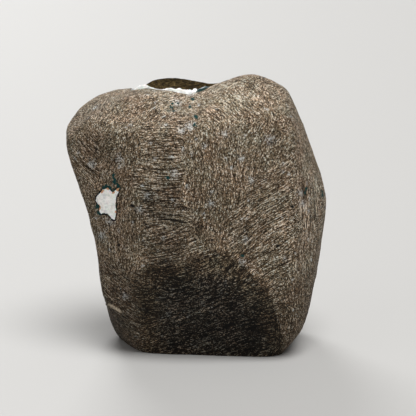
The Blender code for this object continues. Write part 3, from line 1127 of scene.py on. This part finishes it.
def plantCrystals(chance):
    triangles = (getPoints(inside) / mm)[readRows(inside.data.polygons, "vertices", 3, int)]
    cross = np.cross(triangles[:, 1] - triangles[:, 0], triangles[:, 2] - triangles[:, 0])
    areas = lengthsOf(cross)
    chosen = chance.choice(len(areas), crystals["tries"], p=areas / areas.sum())
    mix = chance.dirichlet((1, 1, 1), crystals["tries"])
    feet = (triangles[chosen] * mix[:, :, None]).sum(1)
    inward = intoHollow(unit(feet - hollowHeart))
    size = np.clip(0.5 + crystals["patchiness"] * softNoise(feet, *crystals["patches"]), 0, 1)
    smallest, largest = crystals["radius"]
    few, many, times = crystals["radiusChance"]
    radius = smallest + (largest - smallest) * size * chance.beta(few, many, len(feet)) * times
    radius = np.clip(radius, smallest, largest)
    low, high, shrink = crystals["smallerAbove"]
    radius *= 1 - shrink * fade(feet[:, 2], low, high)
    length = radius * chance.uniform(*crystals["lengthPerRadius"], len(feet)) + crystals["extraLength"]
    axis = unit(inward + chance.normal(0, crystals["tilt"], inward.shape))
    good = inRock(feet + inward * 0.5, crystals["clearOfFaces"] + crystals["clearPerRadius"] * radius)
    good &= inRock(feet + axis * length[:, None], crystals["clearOfFaces"])
    order = np.flatnonzero(good)
    kept = []
    nearby = {}  # the ones kept so far, by the cube that they stand in
    steps = list(itertools.product((-1, 0, 1), repeat=3))
    for spot in order[np.argsort(-radius[order])]:
        x, y, z = (feet[spot] // (2 * largest)).astype(int)
        others = [other for i, j, k in steps for other in nearby.get((x + i, y + j, z + k), ())]
        gaps = feet[others] - feet[spot]
        if np.all((gaps**2).sum(1) >= (crystals["crowding"] * (radius[spot] + radius[others])) ** 2):
            nearby.setdefault((x, y, z), []).append(spot)
            kept.append(spot)
    return feet[kept], axis[kept], radius[kept], length[kept]


chance = np.random.default_rng(crystals["seed"])
modelPoints, modelFaces = modelCrystal()
feet, axes, radii, lengths = plantCrystals(chance)
count = len(feet)
sideways = unit(np.cross(axes, chance.normal(size=(count, 3))))
over = np.cross(axes, sideways)
isTip = modelPoints[:, 2] > 1.2
isShoulder = (modelPoints[:, 2] > 0.8) & ~isTip
isFoot = modelPoints[:, 2] < 0.2
local = np.repeat(modelPoints[None], count, 0)
shoulder = lengths - radii * chance.uniform(*crystals["pyramid"], count)
shoulder = np.maximum(shoulder, crystals["leastShoulder"] * lengths)
uneven = chance.uniform(-crystals["unevenShoulder"], crystals["unevenShoulder"], (count, isShoulder.sum()))
local[:, isTip, 2] = lengths[:, None]
local[:, isShoulder, 2] = shoulder[:, None] + radii[:, None] * uneven
local[:, isFoot, 2] = -crystals["sunk"]
wider = chance.uniform(*crystals["wider"], count)
taper = np.where(isFoot, 1, crystals["taper"])
local[:, :, 0] *= (radii * wider)[:, None] * taper
local[:, :, 1] *= (radii / wider)[:, None] * taper
offCentre = chance.uniform(-crystals["offCentreTip"], crystals["offCentreTip"], (count, 1, 2))
local[:, isTip, :2] += radii[:, None, None] * offCentre
growth = np.repeat(local[:, :, 2:] / lengths[:, None, None], 3, 2)
growth[:, :, 1] = chance.random(count)[:, None]
milky = chance.random(count) < crystals["milkyShare"]
grown = feet[:, None]
for part, way in enumerate((sideways, over, axes)):
    grown = grown + local[:, :, part:part + 1] * way[:, None]


def makeQuartz(name, transmission, colours, roughness):
    material, tree, shader = newMaterial(name, roughness, IOR=1.545, Transmission_Weight=transmission)
    place = inMillimetres(tree)
    height, own, _ = split(tree, attributeOf(tree, "growth"))
    milk = sway(tree, height, cloud(tree, place, 0.5, 4, 0.65, 0.8), -0.25, 0.25)
    milk = sway(tree, milk, own, -0.3, 0.3, 0.0, 1.0)
    tree.links.new(ramp(tree, milk, list(zip((0.05, 0.45, 0.85), colours))), shader.inputs["Base Color"])
    ridges = cloud(tree, stretch(tree, place, (0.6, 0.6, 3.0)), 1, 2)
    tree.links.new(bump(tree, ridges, 0.03, 0.3), shader.inputs["Normal"])
    colour, density = crystals["absorption"]
    absorption = addNode(tree, "VolumeAbsorption", {"Color": (*colour, 1), "Density": density})
    tree.links.new(absorption.outputs["Volume"], tree.nodes["Material Output"].inputs["Volume"])
    return material


for name, chosen in (("milkyCrystals", milky), ("clearCrystals", ~milky)):
    look = crystals[name]
    number = int(chosen.sum())
    faces = (modelFaces[None] + (np.arange(number) * len(modelPoints))[:, None, None]).reshape(-1, 3)
    mesh = bpy.data.meshes.new(name)
    mesh.from_pydata((grown[chosen].reshape(-1, 3) * mm).tolist(), [], faces.tolist())
    thing = bpy.data.objects.new(name, mesh)
    bpy.context.scene.collection.objects.link(thing)
    storeVectors(thing, "growth", growth[chosen].reshape(-1, 3))
    mesh.materials.append(makeQuartz(name, look["transmission"], look["colours"], look["roughness"]))
    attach(thing, "root")
    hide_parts("quartz_crust")
    print(name, "grown:", number, "with", len(faces), "faces")
remove(inside, lipTrim, hollowCutter, lipCutter, recessCutter, blockBody)

studio = {
    "floorColour": (0.42, 0.415, 0.405),
    "floorSize": 200,
    "ambient": (0.262, 0.258, 0.250),
    "suns": {  # way it comes from, softness in degrees, strength
        "key": ((24, 66), 36, 3.5),
        "rear": ((195, 36), 24, 1.5),
        "fill": ((-48, 22), 60, 0.35),
    },
}
clearSelection()
bpy.ops.mesh.primitive_plane_add(size=studio["floorSize"], location=(0, 0, 0))
floor = bpy.context.object
floor.name = floor.data.name = "studioFloor"
material, _, shader = newMaterial("pale floor", 0.7)
shader.inputs["Base Color"].default_value = (*studio["floorColour"], 1)
floor.data.materials.append(material)
world = bpy.context.scene.world or bpy.data.worlds.new("studio")
bpy.context.scene.world = world
world.use_nodes = True
background = world.node_tree.nodes["Background"]
background.inputs["Color"].default_value = (*studio["ambient"], 1)
background.inputs["Strength"].default_value = 1.0
for name, (way, softness, strength) in studio["suns"].items():
    bpy.ops.object.light_add(type="SUN", location=facing(*way))
    sun = bpy.context.object
    sun.name = name + "Light"
    sun.data.angle = math.radians(softness)
    sun.data.energy = strength
    sun.rotation_euler = Vector(-facing(*way)).to_track_quat("-Z", "Y").to_euler()
bpy.context.scene.view_settings.view_transform = "Standard"
print("studio lit")
